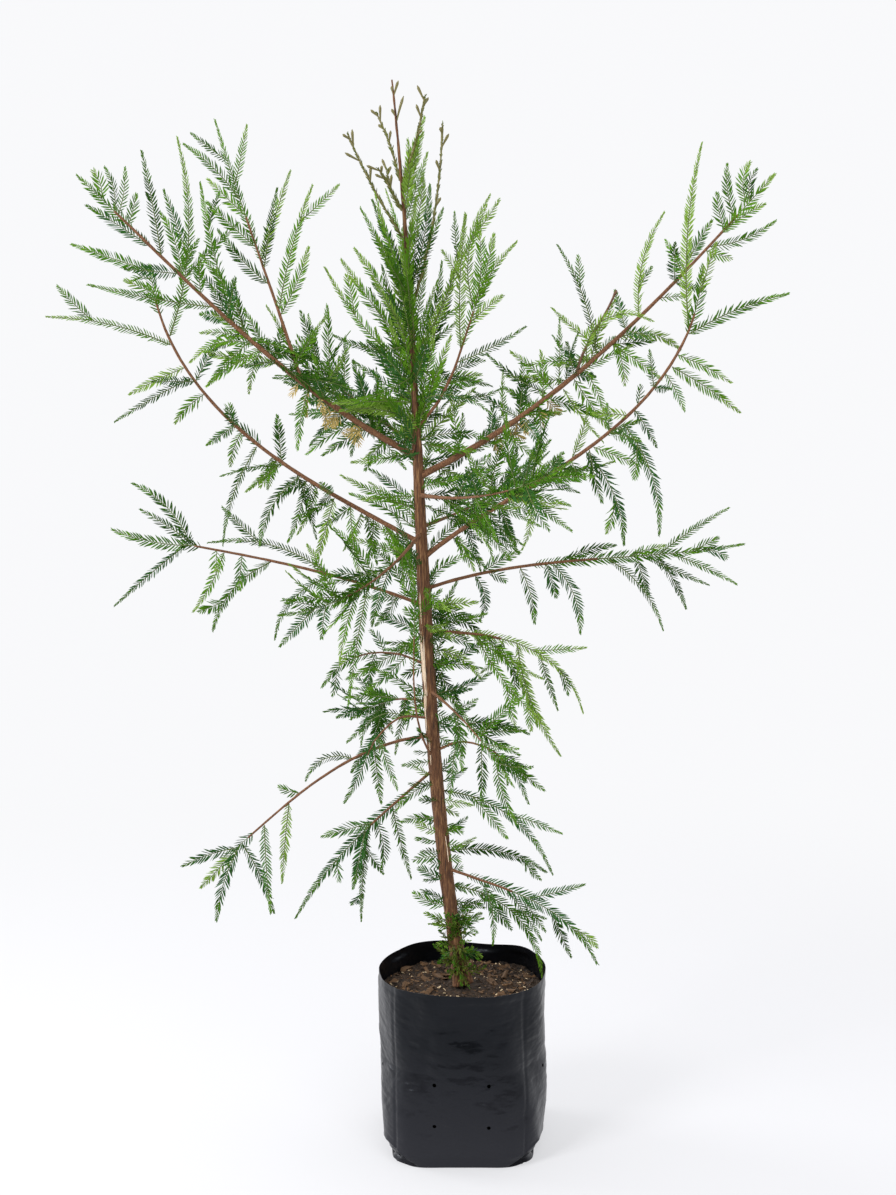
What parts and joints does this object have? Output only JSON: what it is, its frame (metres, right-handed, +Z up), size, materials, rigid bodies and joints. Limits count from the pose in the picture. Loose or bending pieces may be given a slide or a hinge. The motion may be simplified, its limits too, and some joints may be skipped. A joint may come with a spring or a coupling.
{
  "type": "potted montezuma cypress",
  "caption": "Young potted conifer with an upright stem, rising and drooping boughs of feathery flat sprays, in a soft black nursery bag of potting mix.",
  "frame": {"origin": "centre of the bag's flat underside", "axes": "+X to the right as seen from the front, +Y to the back, away from the viewer, +Z up along the stem"},
  "size_m": [0.8424, 0.5918, 1.2658],
  "materials": {
    "polyethylene_film": "semi-gloss black film, softly wrinkled",
    "potting_mix": "damp shredded bark and peat",
    "trunk_bark": "fibrous reddish-brown bark",
    "bough_bark": "thin brown bark",
    "needles": "soft matt green needles, yellow-green at the tips"
  },
  "bodies": {
    "root": {"back_high_foliage": "needles", "back_low_foliage": "needles", "back_middle_foliage": "needles", "dead_snag": "bough_bark", "foot_sprays": "needles", "front_high_foliage": "needles", "front_low_foliage": "needles", "front_middle_foliage": "needles", "grow_bag": "polyethylene_film", "inner_left_foliage": "needles", "inner_left_low_foliage": "needles", "inner_right_low_foliage": "needles", "leader_back_foliage": "needles", "leader_front_foliage": "needles", "leader_left_foliage": "needles", "leader_right_foliage": "needles", "low_left_bough": "bough_bark", "low_left_foliage": "needles", "low_left_inner_bough": "bough_bark", "low_left_inner_foliage": "needles", "low_left_side_foliage": "needles", "low_left_sprays": "needles", "low_right_bough": "bough_bark", "low_right_foliage": "needles", "low_right_side_foliage": "needles", "low_right_sprays": "needles", "lower_left_bough": "bough_bark", "lower_left_foliage": "needles", "lower_left_side_foliage": "needles", "lower_right_bough": "bough_bark", "lower_right_foliage": "needles", "lower_right_side_foliage": "needles", "middle_left_bough_inner": "bough_bark", "middle_left_bough_outer": "bough_bark", "middle_left_foliage": "needles", "middle_left_front_foliage": "needles", "middle_left_side_foliage": "needles", "middle_right_bough_inner": "bough_bark", "middle_right_bough_outer": "bough_bark", "middle_right_foliage": "needles", "middle_right_front_foliage": "needles", "middle_right_side_foliage": "needles", "potting_mix": "potting_mix", "right_arch_bough": "bough_bark", "right_arch_foliage": "needles", "riser_left_bough": "bough_bark", "riser_left_foliage": "needles", "riser_right_bough": "bough_bark", "riser_right_foliage": "needles", "side_shoot_foliage": "needles", "trunk": "trunk_bark", "trunk_right_foliage": "needles", "upper_left_bough": "bough_bark", "upper_left_foliage": "needles", "upper_left_front_foliage": "needles", "upper_left_side_foliage": "needles", "upper_right_bough": "bough_bark", "upper_right_foliage": "needles", "upper_right_front_foliage": "needles", "upper_right_side_foliage": "needles"}
  },
  "joints": []
}
